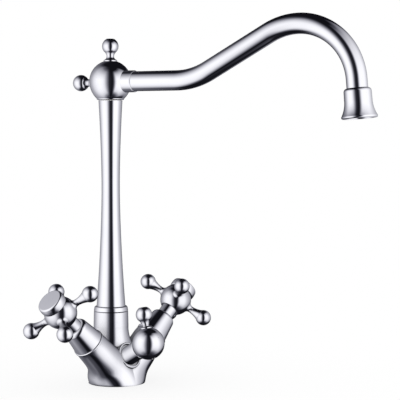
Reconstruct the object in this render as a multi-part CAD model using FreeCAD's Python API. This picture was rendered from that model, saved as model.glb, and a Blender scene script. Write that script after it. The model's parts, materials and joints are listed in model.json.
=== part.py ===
import FreeCAD, Part

import math
import os

# Two handle kitchen mixer tap: a Y-shaped casting carries a tall waisted column with a
# swivelling ball head and goose-neck spout, two cross handles on inclined valves, and a
# small ball-handled shut-off valve on the front.
#
# Frame: millimetres, +Z up. The origin is the centre of the casting's round foot, on the
# worktop. The spout points along -Y, the hot valve leans towards -X, the cold one towards +X.

V = FreeCAD.Vector
UP = V(0, 0, 1)
ORIGIN = V(0, 0, 0)

# ---------------------------------------------------------------- driving sizes

# clearances
SHAFT_FIT = 0.05            # radial play of a shaft, spigot or thread in its hole
RUNNING_GAP = 0.1           # between flat faces that turn on each other
OPEN_GAP = 0.35             # between parts that pass each other without touching

# casting
FOOT_RADIUS = 25.8
FOOT_WALL = 3.8
POCKET_DEPTH = 6.0
ARM_RADIUS = 14.2
ARM_LENGTH = 52.0           # along the valve axis, from where the two axes cross
VALVE_TILT = 46.8           # degrees from vertical
VALVE_FORWARD = 5.2         # the valve axes lie this far in front of the foot's centre
VALVE_CROSSING = 4.2        # height at which the two valve axes cross
SOCKET_RADIUS = 15.7
SOCKET_TOP = 65.2
SOCKET_FLARE = 19.6         # radius of the bell at the foot of the socket
FLARE_HEIGHT = 35.5
SOCKET_ROOT_RADIUS = 13.5   # of the socket's tapered root, just above the hose pocket
SOCKET_ROOT_COVER = 2.0     # from the hose pocket's roof up to that root
GASKET_WIDTH = 1.8
GASKET_DEPTH = 1.5

# underside connections
INLET_RADIUS = 4.5          # bore of an M10 x 1 hose thread
INLET_DEPTH = 8.0
INLET_SPACING = 21.0
INLET_FORWARD = 5.0
OUTLET_FORWARD = 13.0
STUD_RADIUS = 3.4           # bore of an M8 thread
STUD_DEPTH = 12.0
STUD_BACK = 11.0
WATERWAY_RADIUS = 2.6
MIXING_PORT = 9.0           # from the chamber's floor up to the drilling towards the column

# column
COLUMN_SET_BACK = 7.5       # the column stands this far behind the foot's centre
COLLAR_HEIGHT = 4.7
COLLAR_SEAM = 0.45          # bevel that shows the joint between collar and socket
COLLAR_TAPER = 0.45         # how much the collar narrows before its shoulder
COLUMN_LENGTH = 188.0
COLUMN_FOOT_RADIUS = 13.2
COLUMN_WAIST_RADIUS = 8.3
COLUMN_TOP_RADIUS = 10.9
WAIST_ABOVE_FOOT = 110.0
WAIST_POWER = 1.7           # how sharply the column widens away from its waist
COLUMN_BORE = 6.0
SPIGOT_RADIUS = 10.0
SPIGOT_LENGTH = 16.0

# swivel
POST_THREAD_RADIUS = 7.0
POST_THREAD_LENGTH = 14.0
POST_RADIUS = 8.0
POST_LENGTH = 25.5
POST_BORE = 5.0
POST_CAP = 6.0
GLIDE_THICKNESS = 0.5
SWIVEL_SCREW_RADIUS = 2.5
SWIVEL_SHOULDER_RADIUS = 3.1
SWIVEL_HEAD_RADIUS = 4.4
SWIVEL_HEAD_HEIGHT = 3.0
SWIVEL_WEB = 2.2

# ball head
BALL_RADIUS = 19.2
BALL_DROP = 16.9            # from the ball's centre down to its lower rim
BALL_SKIRT_RADIUS = 21.8    # the lower half is drawn down with this larger radius
SPOUT_BELOW_CENTRE = 0.3
FINIAL_THREAD_RADIUS = 5.0
FINIAL_FLANGE_RADIUS = 6.2
FINIAL_NECK_RADIUS = 3.5
FINIAL_NECK_ABOVE_SEAT = 5.4
FINIAL_KNOB_RADIUS = 7.5
FINIAL_REACH = 32.0         # from the ball's centre to the knob's centre
KNOB_FLAT = 0.9             # share of a ball knob's radius at which its end is cut flat
STEM_IN_KNOB = 1.5          # how far each knob's stem runs up into its flange
REAR_STEM_RADIUS = 3.0
REAR_STEM_LENGTH = 6.5
REAR_KNOB_DROP = 1.0        # the rear knob sits this far below the ball's centre

# spout
TUBE_RADIUS = 9.0
TUBE_WALL = 1.0
TUBE_IN_BALL = 6.0
RING_RADIUS = 9.9
RING_END = 26.4             # from the column's axis to the ring's outer end
RING_IN_BALL = 4.5
SPOUT_SWING = 15.5          # degrees the head is turned towards the cold side, as stored
SPOUT_RUN = 70.0            # level stretch, from the column's axis
LIFT_RADIUS = 69.5
LIFT_ANGLE = 27.9
RAMP_LENGTH = 66.0
CREST_RADIUS = 61.5
DROP_RADIUS = 53.0
DROP_ANGLE = 85.0
TUBE_TAIL = 7.2             # bare straight end above the nozzle
TUBE_IN_NOZZLE = 8.5

# nozzle
NOZZLE_LENGTH = 25.4
NOZZLE_TOP_RADIUS = 11.7
NOZZLE_LIP_RADIUS = 15.1
NOZZLE_SHOULDER = 2.8
NOZZLE_MOUTH_RADIUS = 12.2
NOZZLE_MOUTH_DEPTH = 6.0
INSERT_HEIGHT = 9.0
INSERT_HOLE_RADIUS = 0.9
INSERT_HOLE_PITCH = 3.6
WASHER_THICKNESS = 1.5
BUSH_WALL = 1.0
BUSH_START = 2.0            # from the nozzle's top down to the bush

# valves, along their own axis
CHAMBER_DEPTH = 26.0
CHAMBER_RADIUS = 9.0
VALVE_THREAD_RADIUS = 9.5
VALVE_THREAD_LENGTH = 16.0
BONNET_THREAD_RADIUS = 9.75
BONNET_THREAD_LENGTH = 12.0
SEAT_RING_THICKNESS = 2.4
SEAT_RING_OVERHANG = 0.6    # how far the ring stands out past the arm
BONNET_LENGTH = 22.0
BONNET_FOOT_RADIUS = 14.0
BONNET_TOP_RADIUS = 11.4
BONNET_SHOULDER = 3.6
NECK_RADIUS = 7.5
NECK_LENGTH = 9.1           # bare stretch between the bonnet and the handle
NECK_IN_HANDLE = 2.5
NECK_IN_BONNET = 8.0
CARTRIDGE_NECK_RADIUS = 6.0
DISC_RADIUS = 7.4
DISC_THICKNESS = 3.0
SEAL_THICKNESS = 1.6
SPINDLE_RADIUS = 4.0
SPINDLE_SQUARE = 5.4        # across the flats of the square that drives the handle
SPINDLE_IN_HANDLE = 8.0
DRIVER_HEIGHT = 3.0

# cross handle
HUB_RADIUS = 14.6
HUB_DROP = 11.7             # from the hub's centre down to its lower rim
HUB_RISE = 9.4              # from the hub's centre up to the seat of its cap
ARM_COUNT = 4
ARM_CIRCLE = 31.3           # radius of the circle through the knobs' centres
KNOB_RADIUS = 7.25
ARM_NECK_RADIUS = 3.1
ARM_NECK_AT = 18.6
ARM_ROOT_FILLET = 3.6       # where each arm blends into the hub
HANDLE_CLOCKING = 47.3      # degrees by which the closed cross is turned
CAP_RADIUS = 12.4
CAP_HEIGHT = 8.0
CAP_STEM_RADIUS = 6.0
CAP_STEM_LENGTH = 6.0
HANDLE_SCREW_RADIUS = 1.9
HANDLE_SCREW_HEAD = 3.5
HANDLE_SCREW_GRIP = 6.5     # length of the screw inside the spindle
HANDLE_WEB = 2.0

# front shut-off valve, along its own axis
FRONT_RISE = 28.0           # degrees above level
BOSS_FORWARD = 18.2
BOSS_HEIGHT = 27.1
BOSS_RADIUS = 12.2
BOSS_ROOT = 17.0
BOSS_RIM = 1.3
BOSS_RECESS = 2.5
NOSE_RADIUS = 8.6
NOSE_LENGTH = 15.3
FRONT_COLLAR_RADIUS = 10.1
FRONT_COLLAR_THICKNESS = 1.5
FRONT_CHAMBER_RADIUS = 6.5
FRONT_CHAMBER_DEPTH = 14.0
FRONT_DISC_RADIUS = 5.2
FRONT_DISC_THICKNESS = 2.2
FRONT_SPINDLE_RADIUS = 3.5
FRONT_BALL_RADIUS = 14.5
FRONT_SPINDLE_IN_BALL = 13.0
LEVER_LEAN = 12.6           # degrees by which the lever knob leans back from vertical
LEVER_REACH = 26.2          # from the ball's centre to the knob's centre
LEVER_KNOB_RADIUS = 7.4
LEVER_STEM_RADIUS = 2.5
LEVER_STEM_LENGTH = 5.0
GRUB_RADIUS = 2.0
GRUB_LENGTH = 6.0

# ---------------------------------------------------------------- derived places

HOT = -1
COLD = 1
SIDES = {"hot": HOT, "cold": COLD}

INSERT_RADIUS = TUBE_RADIUS + BUSH_WALL

COLUMN_FOOT = SOCKET_TOP + COLLAR_HEIGHT
COLUMN_TOP = COLUMN_FOOT + COLUMN_LENGTH
HEAD_RIM = COLUMN_TOP + GLIDE_THICKNESS + RUNNING_GAP
BALL_CENTRE = HEAD_RIM + BALL_DROP
SPOUT_HEIGHT = BALL_CENTRE - SPOUT_BELOW_CENTRE
POST_TOP = COLUMN_TOP + POST_LENGTH

CHAMBER_FLOOR = ARM_LENGTH - CHAMBER_DEPTH
SEAT_RING_RADIUS = ARM_RADIUS + SEAT_RING_OVERHANG
BONNET_FOOT = ARM_LENGTH + SEAT_RING_THICKNESS
BONNET_TOP = BONNET_FOOT + BONNET_LENGTH
HUB_RIM = BONNET_TOP + NECK_LENGTH
HUB_CENTRE = HUB_RIM + HUB_DROP
HUB_TOP = HUB_CENTRE + HUB_RISE
NECK_TOP = HUB_RIM + NECK_IN_HANDLE
CARTRIDGE_FOOT = CHAMBER_FLOOR + SEAL_THICKNESS
CARTRIDGE_TOP = BONNET_TOP + NECK_LENGTH / 2
MOVING_DISC_FOOT = CARTRIDGE_FOOT + DISC_THICKNESS + RUNNING_GAP
DRIVER_FOOT = MOVING_DISC_FOOT + DISC_THICKNESS
DRIVER_TOP = DRIVER_FOOT + DRIVER_HEIGHT
SPINDLE_TOP = HUB_RIM + SPINDLE_IN_HANDLE
STEM_SEAL_AT = (BONNET_FOOT + BONNET_TOP) / 2
SQUARE_FOOT = NECK_TOP + OPEN_GAP

FRONT_COLLAR_TOP = NOSE_LENGTH + FRONT_COLLAR_THICKNESS
FRONT_BALL_FOOT = FRONT_COLLAR_TOP + RUNNING_GAP * 2
FRONT_BALL_CENTRE = FRONT_BALL_FOOT + math.sqrt(FRONT_BALL_RADIUS ** 2 - FRONT_COLLAR_RADIUS ** 2)


# ---------------------------------------------------------------- helpers

class Outline:
    """A half-section of a turned piece, drawn from point to point as (radius, height)."""

    def __init__(self, radius, height):
        self.here = V(radius, 0, height)
        self.start = self.here
        self.edges = []

    def line(self, radius, height):
        there = V(radius, 0, height)
        if self.here.distanceToPoint(there) > 1e-6:
            self.edges.append(Part.makeLine(self.here, there))
            self.here = there
        return self

    def lines(self, *points):
        for radius, height in points:
            self.line(radius, height)
        return self

    def arc(self, through, to):
        there = V(to[0], 0, to[1])
        curve = Part.Arc(self.here, V(through[0], 0, through[1]), there)
        self.edges.append(curve.toShape())
        self.here = there
        return self

    def curve(self, *points):
        """A smooth curve through every point in turn."""
        stops = [self.here] + [V(radius, 0, height) for radius, height in points]
        spline = Part.BSplineCurve()
        spline.interpolate(stops)
        self.edges.append(spline.toShape())
        self.here = stops[-1]
        return self

    def spin(self):
        if self.here.distanceToPoint(self.start) > 1e-6:
            self.line(self.start.x, self.start.z)
        solid = Part.Face(Part.Wire(self.edges)).revolve(ORIGIN, UP, 360)
        if solid.Volume < 0:
            solid.reverse()
        return solid


def rod(radius, foot, top):
    return Part.makeCylinder(radius, top - foot, V(0, 0, foot))


def ring(outer, inner, foot, top):
    return rod(outer, foot, top).cut(rod(inner, foot, top))


def seal(outer, inner, foot, top):
    """A rubber ring with softened corners."""
    soft = min(outer - inner, top - foot) / 4
    outline = Outline(inner + soft, foot)
    outline.lines((outer - soft, foot), (outer, foot + soft), (outer, top - soft), (outer - soft, top))
    outline.lines((inner + soft, top), (inner, top - soft), (inner, foot + soft))
    return outline.spin()


def square_rod(across, foot, top):
    half = across / 2
    return Part.makeBox(across, across, top - foot, V(-half, -half, foot))


def drilling(start, end, radius):
    path = end - start
    return Part.makeCylinder(radius, path.Length, start, path)


def joined(first, *others):
    """Fuse pieces one after another, which is slower but surer than all at once."""
    for other in others:
        first = first.fuse(other)
    return first.removeSplitter()


def without(shape, *tools):
    for tool in tools:
        shape = shape.cut(tool)
    return shape


def tipped(shape, angle, place=ORIGIN):
    """Lean a piece built along +Z towards -Y by an angle, then move it into place."""
    moved = shape.copy()
    moved.rotate(ORIGIN, V(1, 0, 0), angle)
    moved.translate(place)
    return moved


def on_valve(shape, side):
    """Move a piece built along +Z onto the inclined axis of one valve."""
    moved = shape.copy()
    moved.rotate(ORIGIN, V(0, 1, 0), side * VALVE_TILT)
    moved.translate(V(0, -VALVE_FORWARD, VALVE_CROSSING))
    return moved


def valve_point(side, distance):
    tilt = math.radians(VALVE_TILT)
    return V(
        side * distance * math.sin(tilt),
        -VALVE_FORWARD,
        VALVE_CROSSING + distance * math.cos(tilt),
    )


def on_column(shape, height=0.0):
    moved = shape.copy()
    moved.translate(V(0, COLUMN_SET_BACK, height))
    return moved


def on_head(shape):
    """Turn a piece of the swivelling head about the column to where the spout is stored."""
    moved = shape.copy()
    moved.rotate(V(0, COLUMN_SET_BACK, 0), UP, SPOUT_SWING)
    return moved


def on_front(shape):
    """Move a piece built along +Z onto the front valve, with its zero at the boss's rim."""
    return tipped(shape, 90 - FRONT_RISE, V(0, -BOSS_FORWARD, BOSS_HEIGHT))


def front_point(distance):
    rise = math.radians(FRONT_RISE)
    return V(
        0,
        -BOSS_FORWARD - distance * math.cos(rise),
        BOSS_HEIGHT + distance * math.sin(rise),
    )


def sphere_reach(sphere_radius, radius):
    """How far from a ball's centre a coaxial circle lies on its surface."""
    return math.sqrt(sphere_radius ** 2 - radius ** 2)


# ---------------------------------------------------------------- casting

def arm_section(distance, sideways, forward, tilt_share, radius):
    """One round section of the hot arm.

    It stands at a distance along the valve axis. Sideways and forward are the shares of the
    way from the foot's upright axis to the valve axis, and tilt_share is the share of the
    valve's tilt.
    """
    section = Part.Circle(ORIGIN, UP, radius).toShape()
    section.rotate(ORIGIN, UP, 90)
    section.rotate(ORIGIN, V(0, 1, 0), HOT * VALVE_TILT * tilt_share)
    on_axis = valve_point(HOT, distance)
    section.translate(V(on_axis.x * sideways, on_axis.y * forward, on_axis.z))
    return Part.Wire(section)


def half_body():
    """The hot half of the Y: a horn lofted from the round foot to the arm's end."""
    foot = Part.Circle(ORIGIN, UP, FOOT_RADIUS).toShape()
    foot.rotate(ORIGIN, UP, 90)
    swell = FOOT_RADIUS - ARM_RADIUS
    sections = [
        Part.Wire(foot),
        arm_section(ARM_LENGTH * 0.08, 1.29, 0.10, 0.26, ARM_RADIUS + swell * 0.83),
        arm_section(ARM_LENGTH * 0.29, 0.91, 0.24, 0.52, ARM_RADIUS + swell * 0.58),
        arm_section(ARM_LENGTH * 0.59, 1.00, 0.94, 0.95, ARM_RADIUS + swell * 0.16),
        arm_section(ARM_LENGTH * 0.80, 1.00, 1.00, 1.00, ARM_RADIUS + swell * 0.06),
        arm_section(ARM_LENGTH, 1.00, 1.00, 1.00, ARM_RADIUS),
    ]
    horn = Part.makeLoft(sections, True, False)
    reach = ARM_LENGTH + FOOT_RADIUS
    hot_side = Part.makeBox(2 * reach, 4 * reach, 4 * reach, V(-2 * reach, -2 * reach, -reach))
    return horn.common(hot_side)


def column_socket():
    """The upright socket: a root that tapers down into the foot, a bell and a straight neck."""
    root = POCKET_DEPTH + SOCKET_ROOT_COVER
    bell_top = FLARE_HEIGHT + (SOCKET_TOP - FLARE_HEIGHT) * 0.55
    flare = SOCKET_FLARE - SOCKET_RADIUS
    outline = Outline(0, root)
    outline.lines((SOCKET_ROOT_RADIUS, root), (SOCKET_FLARE - 1, FLARE_HEIGHT - 1.5))
    outline.lines((SOCKET_FLARE, FLARE_HEIGHT - 1), (SOCKET_FLARE, FLARE_HEIGHT))
    outline.arc(
        (SOCKET_RADIUS + flare * 0.34, FLARE_HEIGHT + (bell_top - FLARE_HEIGHT) * 0.40),
        (SOCKET_RADIUS + 0.3, bell_top),
    )
    outline.line(SOCKET_RADIUS, SOCKET_TOP - COLLAR_SEAM)
    outline.lines((SOCKET_RADIUS - COLLAR_SEAM, SOCKET_TOP), (0, SOCKET_TOP))
    return on_column(outline.spin())


def front_boss():
    soft = 0.5
    outline = Outline(0, -BOSS_ROOT)
    outline.lines((BOSS_RADIUS + 1.0, -BOSS_ROOT), (BOSS_RADIUS, -soft), (BOSS_RADIUS - soft, 0), (0, 0))
    return on_front(outline.spin())


def valve_chamber(side):
    thread_foot = ARM_LENGTH - VALVE_THREAD_LENGTH
    thread = VALVE_THREAD_RADIUS + SHAFT_FIT
    outline = Outline(0, CHAMBER_FLOOR)
    outline.lines((CHAMBER_RADIUS, CHAMBER_FLOOR), (CHAMBER_RADIUS, thread_foot))
    outline.lines((thread, thread_foot), (thread, ARM_LENGTH + 1), (0, ARM_LENGTH + 1))
    return on_valve(outline.spin(), side)


def column_bore():
    floor = FLARE_HEIGHT - POCKET_DEPTH
    spigot_floor = SOCKET_TOP - SPIGOT_LENGTH - OPEN_GAP
    bore = SPIGOT_RADIUS + SHAFT_FIT
    outline = Outline(0, floor)
    outline.lines((COLUMN_BORE, floor), (COLUMN_BORE, spigot_floor), (bore, spigot_floor))
    outline.lines((bore, SOCKET_TOP + 1), (0, SOCKET_TOP + 1))
    return on_column(outline.spin())


def front_bores():
    recess = ring(BOSS_RADIUS - BOSS_RIM, FRONT_CHAMBER_RADIUS, -BOSS_RECESS, 1)
    chamber = rod(FRONT_CHAMBER_RADIUS + SHAFT_FIT, -FRONT_CHAMBER_DEPTH, 1)
    return [on_front(recess), on_front(chamber)]


def waterways():
    """Drillings that lead water from the hose threads to the valves and up to the column."""
    roof = POCKET_DEPTH
    inlet_top = roof + INLET_DEPTH
    mixing = V(0, COLUMN_SET_BACK, FLARE_HEIGHT - POCKET_DEPTH + WATERWAY_RADIUS)
    tools = []
    for side in SIDES.values():
        foot = V(side * INLET_SPACING / 2, -INLET_FORWARD, inlet_top - 1)
        tools.append(drilling(foot, valve_point(side, CHAMBER_FLOOR + 1), WATERWAY_RADIUS))
        tools.append(drilling(valve_point(side, CHAMBER_FLOOR + MIXING_PORT), mixing, WATERWAY_RADIUS))
    front_back = front_point(-FRONT_CHAMBER_DEPTH + 1)
    tools.append(drilling(valve_point(COLD, CHAMBER_FLOOR), front_back, WATERWAY_RADIUS * 0.7))
    outlet_top = V(0, -OUTLET_FORWARD, inlet_top - 1)
    tools.append(drilling(outlet_top, front_point(-FRONT_CHAMBER_DEPTH * 0.7), WATERWAY_RADIUS * 0.7))
    return tools


def hose_holes():
    """Two inlets, the front valve's outlet and the hole for the fixing stud."""
    roof = POCKET_DEPTH
    places = [
        (-INLET_SPACING / 2, -INLET_FORWARD),
        (INLET_SPACING / 2, -INLET_FORWARD),
        (0, -OUTLET_FORWARD),
    ]
    holes = [Part.makeCylinder(INLET_RADIUS, INLET_DEPTH, V(x, y, roof)) for x, y in places]
    holes.append(Part.makeCylinder(STUD_RADIUS, STUD_DEPTH, V(0, STUD_BACK, roof)))
    return holes


def gasket_radii():
    middle = FOOT_RADIUS - FOOT_WALL / 2
    return middle + GASKET_WIDTH / 2, middle - GASKET_WIDTH / 2


def valve_body():
    hot_half = half_body()
    cold_half = hot_half.mirror(ORIGIN, V(1, 0, 0))
    body = joined(hot_half, cold_half).fuse(column_socket()).fuse(front_boss())
    pocket = rod(FOOT_RADIUS - FOOT_WALL, -1, POCKET_DEPTH)
    outer, inner = gasket_radii()
    groove = ring(outer, inner, -1, GASKET_DEPTH)
    tools = [pocket, groove, column_bore()]
    tools += [valve_chamber(side) for side in SIDES.values()]
    tools += front_bores()
    tools += waterways()
    tools += hose_holes()
    return without(body, *tools)


def foot_gasket():
    outer, inner = gasket_radii()
    return seal(outer - SHAFT_FIT, inner + SHAFT_FIT, 0, GASKET_DEPTH)


# ---------------------------------------------------------------- column

def column_collar():
    """The round-shouldered ring that covers the joint between the socket and the column."""
    shoulder = COLLAR_HEIGHT * 0.35
    outline = Outline(SPIGOT_RADIUS + SHAFT_FIT, SOCKET_TOP)
    outline.line(SOCKET_RADIUS - COLLAR_SEAM, SOCKET_TOP)
    outline.line(SOCKET_RADIUS, SOCKET_TOP + COLLAR_SEAM)
    outline.line(SOCKET_RADIUS - COLLAR_TAPER, COLUMN_FOOT - shoulder)
    outline.arc(
        (SOCKET_RADIUS - COLLAR_TAPER - shoulder * 0.3, COLUMN_FOOT - shoulder * 0.3),
        (SOCKET_RADIUS - COLLAR_TAPER - shoulder, COLUMN_FOOT),
    )
    outline.line(SPIGOT_RADIUS + SHAFT_FIT, COLUMN_FOOT)
    return on_column(outline.spin())


def waist_radius(height):
    """The column's outline, which widens both ways from an upright waist."""
    waist = COLUMN_FOOT + WAIST_ABOVE_FOOT
    if height < waist:
        widen = COLUMN_FOOT_RADIUS - COLUMN_WAIST_RADIUS
        share = (waist - height) / WAIST_ABOVE_FOOT
    else:
        widen = COLUMN_TOP_RADIUS - COLUMN_WAIST_RADIUS
        share = (height - waist) / (COLUMN_TOP - waist)
    return COLUMN_WAIST_RADIUS + widen * share ** WAIST_POWER


def column():
    spigot_foot = SOCKET_TOP - SPIGOT_LENGTH
    groove_foot = spigot_foot + 4.0
    groove_top = groove_foot + 2.2
    thread_floor = COLUMN_TOP - POST_THREAD_LENGTH
    levels = [COLUMN_FOOT + COLUMN_LENGTH * step / 16 for step in range(1, 17)]
    outline = Outline(COLUMN_BORE, spigot_foot)
    outline.lines((SPIGOT_RADIUS, spigot_foot), (SPIGOT_RADIUS, groove_foot))
    outline.lines((SPIGOT_RADIUS - 1.4, groove_foot), (SPIGOT_RADIUS - 1.4, groove_top))
    outline.lines((SPIGOT_RADIUS, groove_top), (SPIGOT_RADIUS, COLUMN_FOOT))
    outline.line(COLUMN_FOOT_RADIUS, COLUMN_FOOT)
    outline.curve(*[(waist_radius(level), level) for level in levels])
    outline.line(POST_THREAD_RADIUS + SHAFT_FIT, COLUMN_TOP)
    outline.lines((POST_THREAD_RADIUS + SHAFT_FIT, thread_floor), (COLUMN_BORE, thread_floor))
    return on_column(outline.spin())


def column_seal():
    groove_foot = SOCKET_TOP - SPIGOT_LENGTH + 4.0
    return on_column(seal(SPIGOT_RADIUS, SPIGOT_RADIUS - 1.35, groove_foot + 0.1, groove_foot + 2.1))


# ---------------------------------------------------------------- swivel

def post_window():
    """Foot and top of the groove that lets water out of the post into the spout."""
    return SPOUT_HEIGHT - 4.5, SPOUT_HEIGHT + 3.0


def post_seal_feet():
    low, high = post_window()
    return low - 4.0, high + 1.6


def swivel_post():
    low, high = post_window()
    waist = POST_RADIUS - 1.0
    groove = POST_RADIUS - 1.4
    foot = COLUMN_TOP - POST_THREAD_LENGTH + 1
    cap_foot = POST_TOP - POST_CAP
    lower_seal, upper_seal = post_seal_feet()
    outline = Outline(POST_BORE, foot)
    outline.lines((POST_THREAD_RADIUS, foot), (POST_THREAD_RADIUS, COLUMN_TOP), (POST_RADIUS, COLUMN_TOP))
    outline.lines((POST_RADIUS, lower_seal), (groove, lower_seal), (groove, lower_seal + 2))
    outline.lines((POST_RADIUS, lower_seal + 2), (POST_RADIUS, low), (waist, low), (waist, high))
    outline.lines((POST_RADIUS, high), (POST_RADIUS, upper_seal), (groove, upper_seal))
    outline.lines((groove, upper_seal + 2), (POST_RADIUS, upper_seal + 2), (POST_RADIUS, POST_TOP))
    outline.lines((SWIVEL_SCREW_RADIUS + SHAFT_FIT, POST_TOP), (SWIVEL_SCREW_RADIUS + SHAFT_FIT, cap_foot))
    outline.line(POST_BORE, cap_foot)
    post = outline.spin()
    for direction in (V(1, 0, 0), V(0, 1, 0)):
        start = V(0, 0, SPOUT_HEIGHT - 0.7) - direction * POST_RADIUS * 2
        window = Part.makeCylinder(2.8, POST_RADIUS * 4, start, direction)
        post = post.cut(window)
    return on_column(post)


def post_seals():
    rings = []
    for foot in post_seal_feet():
        rings.append(on_column(seal(POST_RADIUS, POST_RADIUS - 1.35, foot + 0.1, foot + 1.9)))
    return Part.makeCompound(rings)


def glide_ring():
    glide_top = COLUMN_TOP + GLIDE_THICKNESS
    return on_column(ring(COLUMN_TOP_RADIUS - 0.4, POST_RADIUS + 0.1, COLUMN_TOP, glide_top))


def head_web():
    """Foot and top of the web inside the ball that the swivel screw holds down."""
    foot = POST_TOP + OPEN_GAP
    return foot, foot + SWIVEL_WEB


def swivel_screw():
    web_top = head_web()[1]
    head_foot = web_top + RUNNING_GAP
    shank_foot = POST_TOP - POST_CAP + 0.5
    outline = Outline(0, shank_foot)
    outline.lines((SWIVEL_SCREW_RADIUS, shank_foot), (SWIVEL_SCREW_RADIUS, POST_TOP))
    outline.lines((SWIVEL_SHOULDER_RADIUS, POST_TOP), (SWIVEL_SHOULDER_RADIUS, head_foot))
    head_top = head_foot + SWIVEL_HEAD_HEIGHT
    outline.lines((SWIVEL_HEAD_RADIUS, head_foot), (SWIVEL_HEAD_RADIUS, head_top - 0.4))
    outline.lines((SWIVEL_HEAD_RADIUS - 0.4, head_top), (0, head_top))
    socket = square_rod(3.0, head_foot + 1, head_top + 1)
    return on_column(outline.spin().cut(socket))


# ---------------------------------------------------------------- ball head

def ball_form():
    """The ball head's outside round its own centre, before it is drilled."""
    skirt_centre = BALL_RADIUS - BALL_SKIRT_RADIUS
    soft = 1.2

    def skirt(drop):
        return skirt_centre + math.sqrt(BALL_SKIRT_RADIUS ** 2 - drop ** 2)

    rim = BALL_DROP - soft
    outline = Outline(0, -BALL_DROP)
    outline.line(skirt(rim) - soft, -BALL_DROP)
    outline.arc((skirt(rim) - soft * 0.25, -BALL_DROP + soft * 0.3), (skirt(rim), -rim))
    outline.arc((skirt(rim / 2), -rim / 2), (BALL_RADIUS, 0))
    outline.arc((BALL_RADIUS * math.cos(0.8), BALL_RADIUS * math.sin(0.8)), (0, BALL_RADIUS))
    return outline.spin()


def head_ball():
    ball = on_column(ball_form(), BALL_CENTRE)
    web_foot, web_top = head_web()
    bore = rod(POST_RADIUS + SHAFT_FIT, HEAD_RIM - 1, web_foot)
    shoulder_hole = rod(SWIVEL_SHOULDER_RADIUS + SHAFT_FIT, web_foot - 1, web_top + 1)
    screw_well = rod(FINIAL_THREAD_RADIUS + SHAFT_FIT, web_top, BALL_CENTRE + BALL_RADIUS + 1)
    spout_port = drilling(
        V(0, 0, SPOUT_HEIGHT),
        V(0, -BALL_RADIUS * 2, SPOUT_HEIGHT),
        TUBE_RADIUS - TUBE_WALL,
    )
    tube_seat = drilling(
        V(0, tube_start() - COLUMN_SET_BACK, SPOUT_HEIGHT),
        V(0, -BALL_RADIUS * 2, SPOUT_HEIGHT),
        TUBE_RADIUS + SHAFT_FIT,
    )
    ring_seat = drilling(
        V(0, ring_start() - COLUMN_SET_BACK, SPOUT_HEIGHT),
        V(0, -BALL_RADIUS * 2, SPOUT_HEIGHT),
        RING_RADIUS + SHAFT_FIT,
    )
    stem_height = BALL_CENTRE - REAR_KNOB_DROP
    stem_hole = drilling(
        V(0, BALL_RADIUS - REAR_STEM_LENGTH - OPEN_GAP, stem_height),
        V(0, BALL_RADIUS * 2, stem_height),
        REAR_STEM_RADIUS + SHAFT_FIT,
    )
    tools = [bore, shoulder_hole, screw_well, spout_port, tube_seat, ring_seat, stem_hole]
    return on_head(without(ball, *[on_column(tool) for tool in tools]))


def ring_start():
    """The ring's inner end, as a place along Y."""
    return COLUMN_SET_BACK - sphere_reach(BALL_RADIUS, RING_RADIUS) + RING_IN_BALL


def tube_start():
    return COLUMN_SET_BACK - sphere_reach(BALL_RADIUS, RING_RADIUS) + TUBE_IN_BALL


def knob_stem(flange_foot, flange_radius, neck_radius, neck_at):
    """The saucer flange and waisted neck that every small knob on the ball stands on."""
    outline = Outline(0, flange_foot)
    outline.lines((flange_radius, flange_foot), (flange_radius, flange_foot + 1.0))
    outline.line(flange_radius - 1.0, flange_foot + 1.7)
    outline.arc(
        (neck_radius + (flange_radius - neck_radius) * 0.12, flange_foot + (neck_at - flange_foot) * 0.55),
        (neck_radius, neck_at),
    )
    return outline


def ball_knob(reach, knob_radius, flange_foot, flange_radius, neck_radius, neck_at):
    """A ball knob on a waisted neck, with its far end cut flat."""
    slope = 0.85
    outline = knob_stem(flange_foot, flange_radius, neck_radius, neck_at)
    edge_radius = knob_radius * math.sin(slope)
    edge_height = reach - knob_radius * math.cos(slope)
    outline.arc(
        ((neck_radius * 1.4 + edge_radius * 0.6) / 2, (neck_at + edge_height) / 2),
        (edge_radius, edge_height),
    )
    flat_radius = knob_radius * math.sqrt(1 - KNOB_FLAT ** 2)
    outline.arc((knob_radius, reach), (flat_radius, reach + knob_radius * KNOB_FLAT))
    outline.line(0, reach + knob_radius * KNOB_FLAT)
    return outline.spin()


def head_knob(stem_radius, stem_foot, angle=0.0, drop=0.0):
    """The finial on top of the ball, and the same knob again tipped down behind it."""
    seat = sphere_reach(BALL_RADIUS, FINIAL_FLANGE_RADIUS)
    neck_at = seat + FINIAL_NECK_ABOVE_SEAT
    knob = ball_knob(
        FINIAL_REACH, FINIAL_KNOB_RADIUS, seat, FINIAL_FLANGE_RADIUS, FINIAL_NECK_RADIUS, neck_at
    )
    below = V(0, 0, -drop)
    seated = tipped(knob, angle, below).cut(ball_form())
    stem = tipped(rod(stem_radius, stem_foot, seat + STEM_IN_KNOB), angle, below)
    return on_column(joined(seated, stem), BALL_CENTRE)


def finial():
    thread_foot = head_web()[1] + RUNNING_GAP + SWIVEL_HEAD_HEIGHT + OPEN_GAP - BALL_CENTRE
    return head_knob(FINIAL_THREAD_RADIUS, thread_foot)


def rear_knob():
    return on_head(head_knob(REAR_STEM_RADIUS, BALL_RADIUS - REAR_STEM_LENGTH, -90, REAR_KNOB_DROP))


# ---------------------------------------------------------------- spout

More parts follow.
